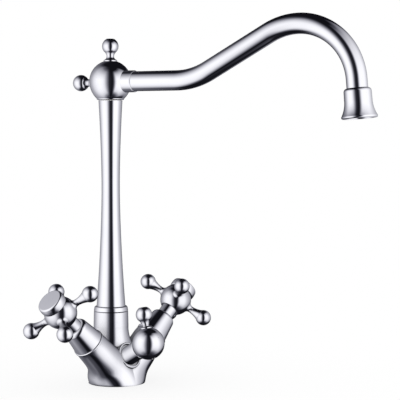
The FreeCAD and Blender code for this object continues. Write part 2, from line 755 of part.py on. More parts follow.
def spout_path(start, tail):
    """The tube's centre line as tangent runs and bends, and its end point and heading."""
    edges = []
    here = V(0, start, SPOUT_HEIGHT)

    def run(length, heading):
        nonlocal here
        there = here + V(0, -math.cos(heading), math.sin(heading)) * length
        edges.append(Part.makeLine(here, there))
        here = there

    def bend(radius, heading, next_heading):
        nonlocal here
        turn = math.copysign(radius, next_heading - heading)

        def point(angle):
            across = math.sin(angle) - math.sin(heading)
            rise = math.cos(heading) - math.cos(angle)
            return here + V(0, -across, rise) * turn

        middle = point((heading + next_heading) / 2)
        there = point(next_heading)
        edges.append(Part.Arc(here, middle, there).toShape())
        here = there

    lift = math.radians(LIFT_ANGLE)
    drop = -math.radians(DROP_ANGLE)
    run(SPOUT_RUN - COLUMN_SET_BACK + start, 0)
    bend(LIFT_RADIUS, 0, lift)
    run(RAMP_LENGTH, lift)
    bend(CREST_RADIUS, lift, 0)
    bend(DROP_RADIUS, 0, drop)
    run(TUBE_TAIL + tail, drop)
    return Part.Wire(edges), here


def swept(path, start, radius):
    circle = Part.Circle(V(0, start, SPOUT_HEIGHT), V(0, -1, 0), radius).toShape()
    return path.makePipeShell([Part.Wire(circle)], True, True)


def spout_tube():
    path, _ = spout_path(tube_start(), TUBE_IN_NOZZLE)
    bore = swept(path, tube_start(), TUBE_RADIUS - TUBE_WALL)
    return on_head(swept(path, tube_start(), TUBE_RADIUS).cut(bore))


def spout_ring():
    inner = TUBE_RADIUS + SHAFT_FIT
    start = COLUMN_SET_BACK - ring_start()
    soft = 0.5
    outline = Outline(inner, start)
    outline.lines((RING_RADIUS, start), (RING_RADIUS, RING_END - soft), (RING_RADIUS - soft, RING_END))
    outline.line(inner, RING_END)
    return on_head(tipped(outline.spin(), 90, V(0, COLUMN_SET_BACK, SPOUT_HEIGHT)))


def on_nozzle(shape):
    """Move a piece built along +Z onto the spout's end, with its zero at the nozzle's top."""
    _, end = spout_path(tube_start(), 0)
    return on_head(tipped(shape, 90 + DROP_ANGLE, end))


def nozzle_levels():
    """Where the tube, bush, washer and insert stop inside the nozzle."""
    tube_end = TUBE_IN_NOZZLE
    washer_top = tube_end + 0.6
    insert_top = washer_top + WASHER_THICKNESS
    return tube_end, washer_top, insert_top, insert_top + INSERT_HEIGHT


def nozzle():
    bore = INSERT_RADIUS + SHAFT_FIT
    mouth_foot = NOZZLE_LENGTH - NOZZLE_MOUTH_DEPTH
    soft = 1.1
    outline = Outline(TUBE_RADIUS + SHAFT_FIT, 0)
    outline.line(NOZZLE_TOP_RADIUS - NOZZLE_SHOULDER + 0.4, 0)
    outline.arc(
        (NOZZLE_TOP_RADIUS - NOZZLE_SHOULDER * 0.3, NOZZLE_SHOULDER * 0.32),
        (NOZZLE_TOP_RADIUS, NOZZLE_SHOULDER),
    )
    outline.line(NOZZLE_TOP_RADIUS + 0.1, NOZZLE_LENGTH * 0.38)
    outline.arc(
        (NOZZLE_TOP_RADIUS + (NOZZLE_LIP_RADIUS - NOZZLE_TOP_RADIUS) * 0.34, NOZZLE_LENGTH * 0.70),
        (NOZZLE_LIP_RADIUS, NOZZLE_LENGTH - 2 * soft),
    )
    outline.arc((NOZZLE_LIP_RADIUS, NOZZLE_LENGTH - soft * 0.6), (NOZZLE_LIP_RADIUS - soft, NOZZLE_LENGTH))
    outline.lines((NOZZLE_MOUTH_RADIUS, NOZZLE_LENGTH), (NOZZLE_MOUTH_RADIUS - 1.0, mouth_foot))
    outline.lines((bore, mouth_foot), (bore, BUSH_START), (TUBE_RADIUS + SHAFT_FIT, BUSH_START))
    return on_nozzle(outline.spin())


def tube_end_bush():
    washer_top = nozzle_levels()[1]
    return on_nozzle(ring(INSERT_RADIUS, TUBE_RADIUS + SHAFT_FIT, BUSH_START, washer_top))


def nozzle_washer():
    _, washer_top, insert_top, _ = nozzle_levels()
    return on_nozzle(seal(INSERT_RADIUS, INSERT_RADIUS - 3.0, washer_top, insert_top))


def nozzle_insert():
    """The plastic flow straightener: a rimmed disc pierced with rings of holes."""
    insert_top, insert_foot = nozzle_levels()[2:]
    disc = rod(INSERT_RADIUS, insert_top, insert_foot - 1.0)
    rim = ring(INSERT_RADIUS - 0.4, INSERT_RADIUS - 1.6, insert_foot - 1.5, insert_foot)
    holes = [rod(INSERT_HOLE_RADIUS, insert_top - 1, insert_foot + 1)]
    for circle in (1, 2):
        count = 6 * circle
        for step in range(count):
            hole = rod(INSERT_HOLE_RADIUS, insert_top - 1, insert_foot + 1)
            hole.translate(V(circle * INSERT_HOLE_PITCH, 0, 0))
            hole.rotate(ORIGIN, UP, 360 / count * step)
            holes.append(hole)
    return on_nozzle(joined(disc, rim).cut(holes))


# ---------------------------------------------------------------- hot and cold valves

def seat_ring(side):
    soft = 0.5
    outline = Outline(BONNET_THREAD_RADIUS + SHAFT_FIT, ARM_LENGTH)
    outline.lines((SEAT_RING_RADIUS - soft, ARM_LENGTH), (SEAT_RING_RADIUS, ARM_LENGTH + soft))
    outline.lines((SEAT_RING_RADIUS, BONNET_FOOT - soft), (SEAT_RING_RADIUS - soft, BONNET_FOOT))
    outline.line(BONNET_THREAD_RADIUS + SHAFT_FIT, BONNET_FOOT)
    return on_valve(outline.spin(), side)


def bonnet(side):
    thread = BONNET_THREAD_RADIUS + SHAFT_FIT
    thread_top = BONNET_FOOT + BONNET_THREAD_LENGTH
    neck_hole = NECK_RADIUS + SHAFT_FIT
    lip = 3.0
    shoulder_foot = BONNET_TOP - BONNET_SHOULDER
    outline = Outline(thread, BONNET_FOOT)
    outline.lines((BONNET_FOOT_RADIUS, BONNET_FOOT), (BONNET_TOP_RADIUS, shoulder_foot))
    outline.arc(
        (BONNET_TOP_RADIUS - 0.7, shoulder_foot + BONNET_SHOULDER * 0.6),
        (NECK_RADIUS + 1.6, BONNET_TOP),
    )
    outline.lines((neck_hole, BONNET_TOP), (neck_hole, BONNET_TOP - lip))
    outline.lines((neck_hole + 0.8, BONNET_TOP - lip), (neck_hole + 0.8, thread_top), (thread, thread_top))
    return on_valve(outline.spin(), side)


def neck_sleeve(side):
    """The plain sleeve seen between bonnet and handle, screwed onto the cartridge's neck."""
    foot = BONNET_TOP - NECK_IN_BONNET
    bore = CARTRIDGE_NECK_RADIUS + SHAFT_FIT
    spindle_hole = SPINDLE_RADIUS + OPEN_GAP
    outline = Outline(bore, foot)
    outline.lines((NECK_RADIUS, foot), (NECK_RADIUS, NECK_TOP - 0.4), (NECK_RADIUS - 0.4, NECK_TOP))
    outline.lines((spindle_hole, NECK_TOP), (spindle_hole, CARTRIDGE_TOP + OPEN_GAP))
    outline.line(bore, CARTRIDGE_TOP + OPEN_GAP)
    return on_valve(outline.spin(), side)


def cartridge(side):
    bore = SPINDLE_RADIUS + SHAFT_FIT
    disc_bore = DISC_RADIUS + SHAFT_FIT
    disc_top = DRIVER_TOP + OPEN_GAP
    thread_foot = ARM_LENGTH - VALVE_THREAD_LENGTH
    neck_foot = BONNET_FOOT + BONNET_THREAD_LENGTH
    outline = Outline(disc_bore, CARTRIDGE_FOOT)
    outline.lines((CHAMBER_RADIUS - SHAFT_FIT, CARTRIDGE_FOOT), (CHAMBER_RADIUS - SHAFT_FIT, thread_foot))
    outline.lines((VALVE_THREAD_RADIUS, thread_foot), (VALVE_THREAD_RADIUS, ARM_LENGTH))
    outline.lines((BONNET_THREAD_RADIUS, ARM_LENGTH), (BONNET_THREAD_RADIUS, neck_foot))
    outline.lines((CARTRIDGE_NECK_RADIUS, neck_foot), (CARTRIDGE_NECK_RADIUS, CARTRIDGE_TOP))
    outline.lines((bore, CARTRIDGE_TOP), (bore, disc_top), (disc_bore, disc_top))
    body = outline.spin()
    window_at = DRIVER_FOOT + DRIVER_HEIGHT / 2
    window = drilling(V(-2 * CHAMBER_RADIUS, 0, window_at), V(2 * CHAMBER_RADIUS, 0, window_at), 2.0)
    return on_valve(body.cut(window), side)


def seat_seal(side):
    return on_valve(seal(CHAMBER_RADIUS - 0.2, DISC_RADIUS - 3.0, CHAMBER_FLOOR, CARTRIDGE_FOOT), side)


def ported_disc(foot, radius, side, turn=0.0):
    """A ceramic disc with two opposite ports."""
    disc = rod(radius, foot, foot + DISC_THICKNESS)
    ports = []
    for offset in (-1, 1):
        port = rod(radius * 0.27, foot - 1, foot + DISC_THICKNESS + 1)
        port.translate(V(offset * radius * 0.5, 0, 0))
        port.rotate(ORIGIN, UP, turn)
        ports.append(port)
    return on_valve(disc.cut(ports), side)


def fixed_disc(side):
    return ported_disc(CARTRIDGE_FOOT, DISC_RADIUS, side)


def moving_disc(side):
    return ported_disc(MOVING_DISC_FOOT, DISC_RADIUS - 0.1, side, 90)


def spindle(side):
    groove = SPINDLE_RADIUS - 0.8
    driver = DISC_RADIUS - 0.6
    screw = HANDLE_SCREW_RADIUS + SHAFT_FIT
    screw_floor = SPINDLE_TOP - HANDLE_SCREW_GRIP - OPEN_GAP
    outline = Outline(0, DRIVER_FOOT)
    outline.lines((driver, DRIVER_FOOT), (driver, DRIVER_TOP), (SPINDLE_RADIUS, DRIVER_TOP))
    outline.lines((SPINDLE_RADIUS, STEM_SEAL_AT - 1), (groove, STEM_SEAL_AT - 1))
    outline.lines((groove, STEM_SEAL_AT + 1), (SPINDLE_RADIUS, STEM_SEAL_AT + 1))
    outline.lines((SPINDLE_RADIUS, SQUARE_FOOT), (0, SQUARE_FOOT))
    shaft = outline.spin()
    square = square_rod(SPINDLE_SQUARE, SQUARE_FOOT - 1, SPINDLE_TOP)
    shape = joined(shaft, square).cut(rod(screw, screw_floor, SPINDLE_TOP + 1))
    return on_valve(shape, side)


def stem_seal(side):
    ring_shape = seal(SPINDLE_RADIUS, SPINDLE_RADIUS - 0.75, STEM_SEAL_AT - 0.9, STEM_SEAL_AT + 0.9)
    return on_valve(ring_shape, side)


def handle_arm():
    """One arm of the cross along +Z from the hub's centre: root flare, waist and round knob."""
    slope = 0.80
    sink = 0.03
    edge_radius = KNOB_RADIUS * math.sin(slope)
    edge_at = ARM_CIRCLE - KNOB_RADIUS * math.cos(slope)
    fillet_radius = ARM_NECK_RADIUS + ARM_ROOT_FILLET
    fillet_at = sphere_reach(HUB_RADIUS + ARM_ROOT_FILLET, fillet_radius) - sink
    touch = HUB_RADIUS / (HUB_RADIUS + ARM_ROOT_FILLET)
    turn = math.atan2(fillet_at, fillet_radius) / 2
    outline = Outline(0, HUB_RADIUS / 2)
    outline.lines((fillet_radius * touch, HUB_RADIUS / 2), (fillet_radius * touch, fillet_at * touch))
    outline.arc(
        (fillet_radius - ARM_ROOT_FILLET * math.cos(turn), fillet_at - ARM_ROOT_FILLET * math.sin(turn)),
        (ARM_NECK_RADIUS, fillet_at),
    )
    outline.line(ARM_NECK_RADIUS, ARM_NECK_AT)
    outline.arc(
        ((ARM_NECK_RADIUS * 1.35 + edge_radius * 0.65) / 2, (ARM_NECK_AT + edge_at) / 2),
        (edge_radius, edge_at),
    )
    outline.arc(
        (KNOB_RADIUS * math.sin(2.0), ARM_CIRCLE - KNOB_RADIUS * math.cos(2.0)),
        (0, ARM_CIRCLE + KNOB_RADIUS),
    )
    return outline.spin()


def cross_handle(side):
    hub = Part.makeSphere(HUB_RADIUS)
    trim = Part.makeCylinder(2 * HUB_RADIUS, HUB_DROP + HUB_RISE, V(0, 0, -HUB_DROP))
    hub = hub.common(trim)
    arms = []
    for step in range(ARM_COUNT):
        arm = handle_arm()
        arm.rotate(ORIGIN, V(0, 1, 0), 90)
        arm.rotate(ORIGIN, UP, HANDLE_CLOCKING + 360 / ARM_COUNT * step)
        arms.append(arm)
    cross = joined(hub, *arms)
    cross.translate(V(0, 0, HUB_CENTRE))
    web_foot = SPINDLE_TOP + 0.2
    neck_well = rod(NECK_RADIUS + OPEN_GAP, HUB_RIM - 1, NECK_TOP + OPEN_GAP)
    drive = square_rod(SPINDLE_SQUARE + SHAFT_FIT, HUB_RIM, web_foot)
    screw_hole = rod(HANDLE_SCREW_RADIUS + 0.15, web_foot - 1, web_foot + HANDLE_WEB + 1)
    cap_well = rod(CAP_STEM_RADIUS + SHAFT_FIT, web_foot + HANDLE_WEB, HUB_TOP + 1)
    return on_valve(without(cross, neck_well, drive, screw_hole, cap_well), side)


def handle_screw(side):
    head_foot = SPINDLE_TOP + 0.2 + HANDLE_WEB
    shank_foot = SPINDLE_TOP - HANDLE_SCREW_GRIP
    outline = Outline(0, shank_foot)
    outline.lines((HANDLE_SCREW_RADIUS, shank_foot), (HANDLE_SCREW_RADIUS, head_foot))
    outline.lines((HANDLE_SCREW_HEAD, head_foot), (HANDLE_SCREW_HEAD, head_foot + 1.6))
    outline.lines((HANDLE_SCREW_HEAD - 0.8, head_foot + 2.4), (0, head_foot + 2.4))
    slot = Part.makeBox(2 * HANDLE_SCREW_HEAD, 0.9, 2.0, V(-HANDLE_SCREW_HEAD, -0.45, head_foot + 1.4))
    return on_valve(outline.spin().cut(slot), side)


def handle_cap(side):
    """The blank drum-shaped cap that closes the hub and hides the handle screw."""
    top = HUB_TOP + CAP_HEIGHT
    soft = 1.6
    stem_foot = HUB_TOP - CAP_STEM_LENGTH
    outline = Outline(0, stem_foot)
    outline.lines((CAP_STEM_RADIUS, stem_foot), (CAP_STEM_RADIUS, HUB_TOP), (CAP_RADIUS - 0.9, HUB_TOP))
    outline.line(CAP_RADIUS - 0.2, HUB_TOP + 0.8)
    outline.arc((CAP_RADIUS, HUB_TOP + CAP_HEIGHT * 0.45), (CAP_RADIUS - 0.3, top - soft))
    outline.arc((CAP_RADIUS - 0.3 - soft * 0.3, top - soft * 0.3), (CAP_RADIUS - 0.3 - soft, top))
    outline.line(0, top)
    return on_valve(outline.spin(), side)


VALVE_PIECES = {
    "seat_ring": seat_ring,
    "bonnet": bonnet,
    "neck_sleeve": neck_sleeve,
    "cartridge": cartridge,
    "seat_seal": seat_seal,
    "fixed_disc": fixed_disc,
    "moving_disc": moving_disc,
    "spindle": spindle,
    "stem_seal": stem_seal,
    "cross_handle": cross_handle,
    "handle_screw": handle_screw,
    "handle_cap": handle_cap,
}


# ---------------------------------------------------------------- front shut-off valve

def front_nose():
    """The plain stub between the boss and the ball, which holds the small cartridge down."""
    outline = Outline(FRONT_CHAMBER_RADIUS + SHAFT_FIT, -BOSS_RECESS)
    outline.lines((NOSE_RADIUS, -BOSS_RECESS), (NOSE_RADIUS, NOSE_LENGTH))
    outline.line(FRONT_SPINDLE_RADIUS + OPEN_GAP, NOSE_LENGTH)
    outline.line(FRONT_SPINDLE_RADIUS + OPEN_GAP, front_sleeve_top())
    outline.line(FRONT_CHAMBER_RADIUS + SHAFT_FIT, front_sleeve_top())
    return on_front(outline.spin())


def front_sleeve_top():
    return NOSE_LENGTH - 3.0


def front_collar():
    soft = 0.4
    top = FRONT_COLLAR_TOP
    outline = Outline(FRONT_SPINDLE_RADIUS + OPEN_GAP, NOSE_LENGTH)
    outline.lines((FRONT_COLLAR_RADIUS - soft, NOSE_LENGTH), (FRONT_COLLAR_RADIUS, NOSE_LENGTH + soft))
    outline.lines((FRONT_COLLAR_RADIUS, top - soft), (FRONT_COLLAR_RADIUS - soft, top))
    outline.line(FRONT_SPINDLE_RADIUS + OPEN_GAP, top)
    return on_front(outline.spin())


def front_levels():
    """Feet of the fixed disc, the moving disc, the spindle's driver and the driver's top."""
    fixed = -FRONT_CHAMBER_DEPTH
    moving = fixed + FRONT_DISC_THICKNESS + RUNNING_GAP
    driver = moving + FRONT_DISC_THICKNESS
    return fixed, moving, driver, driver + 2.0


def front_cartridge():
    fixed, _, _, driver_top = front_levels()
    disc_bore = FRONT_DISC_RADIUS + SHAFT_FIT
    bore = FRONT_SPINDLE_RADIUS + SHAFT_FIT
    roof = driver_top + OPEN_GAP
    outline = Outline(disc_bore, fixed)
    outline.lines((FRONT_CHAMBER_RADIUS, fixed), (FRONT_CHAMBER_RADIUS, front_sleeve_top() - OPEN_GAP))
    outline.lines((bore, front_sleeve_top() - OPEN_GAP), (bore, roof), (disc_bore, roof))
    return on_front(outline.spin())


def front_disc(foot, radius, turn):
    disc = rod(radius, foot, foot + FRONT_DISC_THICKNESS)
    port = rod(radius * 0.3, foot - 1, foot + FRONT_DISC_THICKNESS + 1)
    port.translate(V(0, radius * 0.5, 0))
    port.rotate(ORIGIN, UP, turn)
    return on_front(disc.cut(port))


def front_fixed_disc():
    return front_disc(front_levels()[0], FRONT_DISC_RADIUS, 0)


def front_moving_disc():
    return front_disc(front_levels()[1], FRONT_DISC_RADIUS - 0.1, 90)


def front_spindle():
    _, _, driver, driver_top = front_levels()
    groove = FRONT_SPINDLE_RADIUS - 0.7
    middle = NOSE_LENGTH / 2 - 3
    top = FRONT_BALL_FOOT + FRONT_SPINDLE_IN_BALL
    outline = Outline(0, driver)
    outline.lines((FRONT_DISC_RADIUS - 0.4, driver), (FRONT_DISC_RADIUS - 0.4, driver_top))
    outline.lines((FRONT_SPINDLE_RADIUS, driver_top), (FRONT_SPINDLE_RADIUS, middle - 1))
    outline.lines((groove, middle - 1), (groove, middle + 1), (FRONT_SPINDLE_RADIUS, middle + 1))
    outline.lines((FRONT_SPINDLE_RADIUS, top), (0, top))
    return on_front(outline.spin())


def front_stem_seal():
    middle = NOSE_LENGTH / 2 - 3
    ring_shape = seal(FRONT_SPINDLE_RADIUS, FRONT_SPINDLE_RADIUS - 0.65, middle - 0.9, middle + 0.9)
    return on_front(ring_shape)


def grub_direction():
    """Unit vector square to the front valve's axis, pointing down out of the ball."""
    rise = math.radians(FRONT_RISE)
    return V(0, -math.sin(rise), -math.cos(rise))


def lever_direction():
    lean = math.radians(LEVER_LEAN)
    return V(0, math.sin(lean), math.cos(lean))


def front_ball():
    centre = V(0, 0, FRONT_BALL_CENTRE)
    ball = Part.makeSphere(FRONT_BALL_RADIUS, centre)
    ball = ball.cut(rod(2 * FRONT_BALL_RADIUS, FRONT_BALL_CENTRE - 2 * FRONT_BALL_RADIUS, FRONT_BALL_FOOT))
    bore_top = FRONT_BALL_FOOT + FRONT_SPINDLE_IN_BALL + OPEN_GAP
    ball = on_front(ball.cut(rod(FRONT_SPINDLE_RADIUS + SHAFT_FIT, FRONT_BALL_FOOT - 1, bore_top)))
    middle = front_point(FRONT_BALL_CENTRE)
    lever = lever_direction()
    stem_foot = FRONT_BALL_RADIUS - LEVER_STEM_LENGTH - OPEN_GAP
    stem_hole = drilling(middle + lever * stem_foot, middle + lever * 2 * FRONT_BALL_RADIUS,
                         LEVER_STEM_RADIUS + SHAFT_FIT)
    grub = grub_direction()
    grub_hole = drilling(middle, middle + grub * 2 * FRONT_BALL_RADIUS, GRUB_RADIUS + SHAFT_FIT)
    return without(ball, stem_hole, grub_hole)


def front_lever():
    flange = FINIAL_FLANGE_RADIUS - 1.0
    seat = sphere_reach(FRONT_BALL_RADIUS, flange) - 0.2
    knob = ball_knob(LEVER_REACH, LEVER_KNOB_RADIUS, seat, flange, ARM_NECK_RADIUS, seat + 3.4)
    knob = knob.cut(Part.makeSphere(FRONT_BALL_RADIUS))
    stem = rod(LEVER_STEM_RADIUS, FRONT_BALL_RADIUS - LEVER_STEM_LENGTH, seat + STEM_IN_KNOB)
    return tipped(joined(knob, stem), -LEVER_LEAN, front_point(FRONT_BALL_CENTRE))


def front_grub_screw():
    middle = front_point(FRONT_BALL_CENTRE)
    grub = grub_direction()
    start = FRONT_SPINDLE_RADIUS + 0.1
    end = start + GRUB_LENGTH
    screw = drilling(middle + grub * start, middle + grub * end, GRUB_RADIUS)
    socket = drilling(middle + grub * (end - 1.5), middle + grub * (end + 1), 1.0)
    return screw.cut(socket)


# ---------------------------------------------------------------- writing the pieces

SINGLE_PIECES = {
    "valve_body": valve_body,
    "foot_gasket": foot_gasket,
    "column_collar": column_collar,
    "column": column,
    "column_seal": column_seal,
    "swivel_post": swivel_post,
    "post_seals": post_seals,
    "glide_ring": glide_ring,
    "swivel_screw": swivel_screw,
    "head_ball": head_ball,
    "finial": finial,
    "rear_knob": rear_knob,
    "spout_ring": spout_ring,
    "spout_tube": spout_tube,
    "tube_end_bush": tube_end_bush,
    "nozzle": nozzle,
    "nozzle_washer": nozzle_washer,
    "nozzle_insert": nozzle_insert,
    "front_nose": front_nose,
    "front_collar": front_collar,
    "front_cartridge": front_cartridge,
    "front_fixed_disc": front_fixed_disc,
    "front_moving_disc": front_moving_disc,
    "front_spindle": front_spindle,
    "front_stem_seal": front_stem_seal,
    "front_ball": front_ball,
    "front_lever": front_lever,
    "front_grub_screw": front_grub_screw,
}


def main():
    os.makedirs("parts", exist_ok=True)
    shapes = {name: make() for name, make in SINGLE_PIECES.items()}
    for side_name, side in SIDES.items():
        for name, make in VALVE_PIECES.items():
            shapes[side_name + "_" + name] = make(side)
    for name, shape in shapes.items():
        shape.exportStep("parts/" + name + ".step")
        solids = len(shape.Solids)
        print(f"{name:22s} solids {solids}  valid {shape.isValid()}  volume {shape.Volume:10.1f} mm3")


main()
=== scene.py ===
# %% [markdown]
# # A chrome kitchen mixer tap
#
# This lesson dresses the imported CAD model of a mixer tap: a Y-shaped body, a tall waisted
# column, a goose-neck spout, two cross handles and a small ball-handled valve in front.
# Chrome has no colour of its own, so most of the work is in what it mirrors.
# Each step says what a piece is on the real tap, and why it is made the way it is.

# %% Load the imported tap
import json
import math

import bmesh
import bpy
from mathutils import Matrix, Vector


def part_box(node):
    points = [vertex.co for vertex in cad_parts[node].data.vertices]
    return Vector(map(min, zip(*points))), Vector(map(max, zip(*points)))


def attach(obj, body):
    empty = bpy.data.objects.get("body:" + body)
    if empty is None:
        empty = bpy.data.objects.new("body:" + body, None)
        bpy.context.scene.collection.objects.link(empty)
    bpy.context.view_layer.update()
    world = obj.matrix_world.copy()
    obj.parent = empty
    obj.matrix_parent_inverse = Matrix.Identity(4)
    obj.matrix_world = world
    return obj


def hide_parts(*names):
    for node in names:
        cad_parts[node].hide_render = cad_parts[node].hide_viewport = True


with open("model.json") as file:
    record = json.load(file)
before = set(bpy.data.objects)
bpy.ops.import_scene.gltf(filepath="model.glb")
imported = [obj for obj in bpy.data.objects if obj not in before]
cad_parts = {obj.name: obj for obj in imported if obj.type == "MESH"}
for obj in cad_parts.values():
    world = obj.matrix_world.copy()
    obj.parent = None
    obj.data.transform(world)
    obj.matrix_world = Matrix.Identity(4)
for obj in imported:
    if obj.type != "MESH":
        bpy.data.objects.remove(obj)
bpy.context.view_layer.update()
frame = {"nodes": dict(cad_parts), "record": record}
nodes = frame["nodes"]
MM = 0.001

# %% [markdown]
# ## The camera
#
# The photograph was taken from about 1.3 m away with a long lens, a little above the middle
# of the tap and from its front left. A long lens keeps the verticals almost parallel.
# Yaw is counted from +Y towards +X, and the camera looks down by a few degrees.

# %% Camera
CAMERA_PLACE = Vector((-0.88313, -0.97532, 0.22699))
CAMERA_YAW = 45.49
CAMERA_PITCH = -2.6
LENS = 129.72
SENSOR = 36.0
NEAR_LIMIT = 0.05

camera_data = bpy.data.cameras.new("photo_camera")
camera_data.lens = LENS
camera_data.sensor_width = SENSOR
camera_data.clip_start = NEAR_LIMIT
camera = bpy.data.objects.new("photo_camera", camera_data)
camera.location = CAMERA_PLACE
camera.rotation_euler = (math.radians(90 + CAMERA_PITCH), 0, math.radians(-CAMERA_YAW))
bpy.context.scene.collection.objects.link(camera)
bpy.context.scene.camera = camera
bpy.context.scene.view_settings.view_transform = "Standard"
print("camera stands", round(CAMERA_PLACE.length, 3), "m from the foot")

# %% [markdown]
# ## Shader sums
#
# A shader is a sum over sockets. Wiring Math nodes by hand hides the formula, so this small
# class lets a socket be used like a number: `1 - mask * 0.3` adds the Math nodes itself.
# Every other kind of node comes from its one method `node`.

# %% The Wire class
class Wire:
    """A value, colour or vector on its way through a node tree."""

    def __init__(self, tree, socket=None):
        self.tree = tree
        self.socket = socket

    def node(self, kind, inputs=None, output=0, stops=None, **settings):
        """Add any node: settings first, then the value, wire or list of wires of each socket."""
        made = self.tree.nodes.new(kind)
        for name, value in settings.items():
            setattr(made, name, value)
        if stops:
            elements = made.color_ramp.elements
            while len(elements) < len(stops):
                elements.new(0.5)
            for element, (place, grey) in zip(elements, stops):
                element.position = place
                element.color = (grey, grey, grey, 1)
        for name, value in (inputs or {}).items():
            if isinstance(value, list):
                for wire in value:
                    self.tree.links.new(wire.socket, made.inputs[name])
            elif isinstance(value, Wire):
                self.tree.links.new(value.socket, made.inputs[name])
            else:
                made.inputs[name].default_value = value
        return None if output is None else Wire(self.tree, made.outputs[output])

    def maths(self, operation, first, second):
        return self.node("ShaderNodeMath", {0: first, 1: second}, operation=operation)

    def __add__(self, other):
        return self.maths("ADD", self, other)

    def __radd__(self, other):
        return self.maths("ADD", other, self)

    def __sub__(self, other):
        return self.maths("SUBTRACT", self, other)

    def __rsub__(self, other):
        return self.maths("SUBTRACT", other, self)

    def __mul__(self, other):
        return self.maths("MULTIPLY", self, other)

    def __rmul__(self, other):
        return self.maths("MULTIPLY", other, self)

    def __truediv__(self, other):
        return self.maths("DIVIDE", self, other)

    def __rtruediv__(self, other):
        return self.maths("DIVIDE", other, self)

    def __neg__(self):
        return 0 - self

    def __pow__(self, other):
        return self.maths("POWER", self, other)

    def __rpow__(self, other):
        return self.maths("POWER", other, self)

    def at_least(self, limit):
        return self.maths("MAXIMUM", self, limit)

    def at_most(self, limit):
        return self.maths("MINIMUM", self, limit)

    def step(self, start, end):
        """Rises softly from 0 at start to 1 at end."""
        return self.node(
            "ShaderNodeMapRange",
            {"Value": self, "From Min": start, "From Max": end},
            interpolation_type="SMOOTHSTEP",
        )

    def ramp(self, *stops):
        return self.node("ShaderNodeValToRGB", {"Fac": self}, stops=stops)


def dot(wire, direction):
    return wire.node(
        "ShaderNodeVectorMath", {0: wire, 1: direction}, "Value", operation="DOT_PRODUCT"
    )


print("shader sums ready")

# %% [markdown]
# ## The light tent
#
# Shiny taps are photographed inside a white tent with one soft light on each side. The lens
# looks in through a slit, and that dark slit is the black stripe down every upright surface.
# The panels end above, below and behind, which gives the dark tops and outlines.
# Lamps and cards could build this, but their edges are hard and they add noise. The world
# could hold it, but a world is infinitely far away, and here the stripe wanders from piece to
# piece because the tent is close. So the tent is a real sphere that only mirrors can see.

# %% Light tent
TENT_RADIUS = 0.6
TENT_TOWARDS_LENS = 0.1
TENT_HEIGHT = 0.2
TENT_LIGHT = 1.19
TENT_DARK = 0.009
TENT_COOLNESS = 1.07
TENT_FINENESS = 5
TENT_SEAM = (0.47, 0.55)     # where, as a share of the way round, the left panel hands over

# brightness all the way round, in degrees to the right of the lens
TENT_AROUND = [
    (-180, 0.02), (-166, 0.18), (-150, 0.31), (-130, 0.48), (-112, 0.76), (-92, 0.95),
    (-70, 1.0), (-52, 0.94), (-40, 0.80), (-28, 0.44), (-18, 0.18), (-8, 0.02), (14, 0.0),
    (22, 0.07), (28, 0.36), (34, 0.76), (42, 0.97), (58, 1.0), (80, 0.98), (92, 0.84),
    (104, 0.64), (120, 0.48), (140, 0.34), (156, 0.20), (168, 0.05), (180, 0.02),
]
# brightness of the left and the right panel, in degrees above the horizon
LEFT_PANEL_UP = [
    (-90, 0.0), (-76, 0.08), (-66, 0.35), (-58, 0.65), (-48, 0.82), (-36, 0.93), (-20, 0.98),
    (0, 1.0), (15, 1.0), (28, 0.88), (40, 0.72), (52, 0.48), (60, 0.32), (66, 0.15),
    (74, 0.05), (80, 0.01), (90, 0.0),
]
RIGHT_PANEL_UP = [
    (-90, 0.01), (-75, 0.015), (-66, 0.08), (-58, 0.30), (-48, 0.70), (-36, 0.88), (-20, 0.98),
    (0, 1.0), (20, 0.98), (32, 0.86), (42, 0.68), (50, 0.46), (56, 0.28), (62, 0.08),
    (68, 0.0), (90, 0.0),
]
# both panels grow narrower towards their far ends: from, to, and by how much
RIGHT_PANEL_TAPER = (105, 150, 1.3)
LEFT_PANEL_TAPER = (-115, -165, 0.45)


def surface(material):
    """Start a material's tree afresh and give a wire to build on."""
    material.use_nodes = True
    material.node_tree.nodes.clear()
    return Wire(material.node_tree)


def finish_surface(start, shader):
    start.node("ShaderNodeOutputMaterial", {"Surface": shader}, output=None)


def around_ramp(turn, stops):
    return turn.ramp(*[((angle + 180) / 360, light) for angle, light in stops])


def up_ramp(rise, stops):
    return rise.ramp(*[((angle + 90) / 180, light) for angle, light in stops])


def narrowing(turn, angle_from, angle_to, amount):
    """1 near the lens, growing by amount between two angles round the tent."""
    start, end = (angle_from + 180) / 360, (angle_to + 180) / 360
    if start < end:
        return turn.step(start, end) * amount + 1
    return (1 - turn.step(end, start)) * amount + 1


def tent_material(middle, to_lens, to_right):
    material = bpy.data.materials.new("tent_walls")
    start = surface(material)
    place = start.node("ShaderNodeTexCoord", output="Object")
    direction = start.node(
        "ShaderNodeVectorMath", {0: place, 1: middle}, "Vector", operation="SUBTRACT"
    )
    front = dot(direction, to_lens)
    right = dot(direction, to_right)
    height = dot(direction, Vector((0, 0, 1 / TENT_RADIUS)))
    around = start.node("ShaderNodeMath", {0: right, 1: front}, operation="ARCTAN2")
    turn = around * (0.5 / math.pi) + 0.5
    rise = start.node("ShaderNodeMath", {0: height}, operation="ARCSINE") * (1 / math.pi)
    right_side = turn.step(*TENT_SEAM)
    left_rise = rise * narrowing(turn, *LEFT_PANEL_TAPER)
    right_rise = rise * narrowing(turn, *RIGHT_PANEL_TAPER)
    left_panel = up_ramp(left_rise + 0.5, LEFT_PANEL_UP) * (1 - right_side)
    right_panel = up_ramp(right_rise + 0.5, RIGHT_PANEL_UP) * right_side
    tent = around_ramp(turn, TENT_AROUND) * (left_panel + right_panel) * TENT_LIGHT + TENT_DARK
    cool = tent ** TENT_COOLNESS
    colour = start.node("ShaderNodeCombineColor", {0: cool, 1: cool, 2: tent})
    finish_surface(start, start.node("ShaderNodeEmission", {"Color": colour}))
    return material


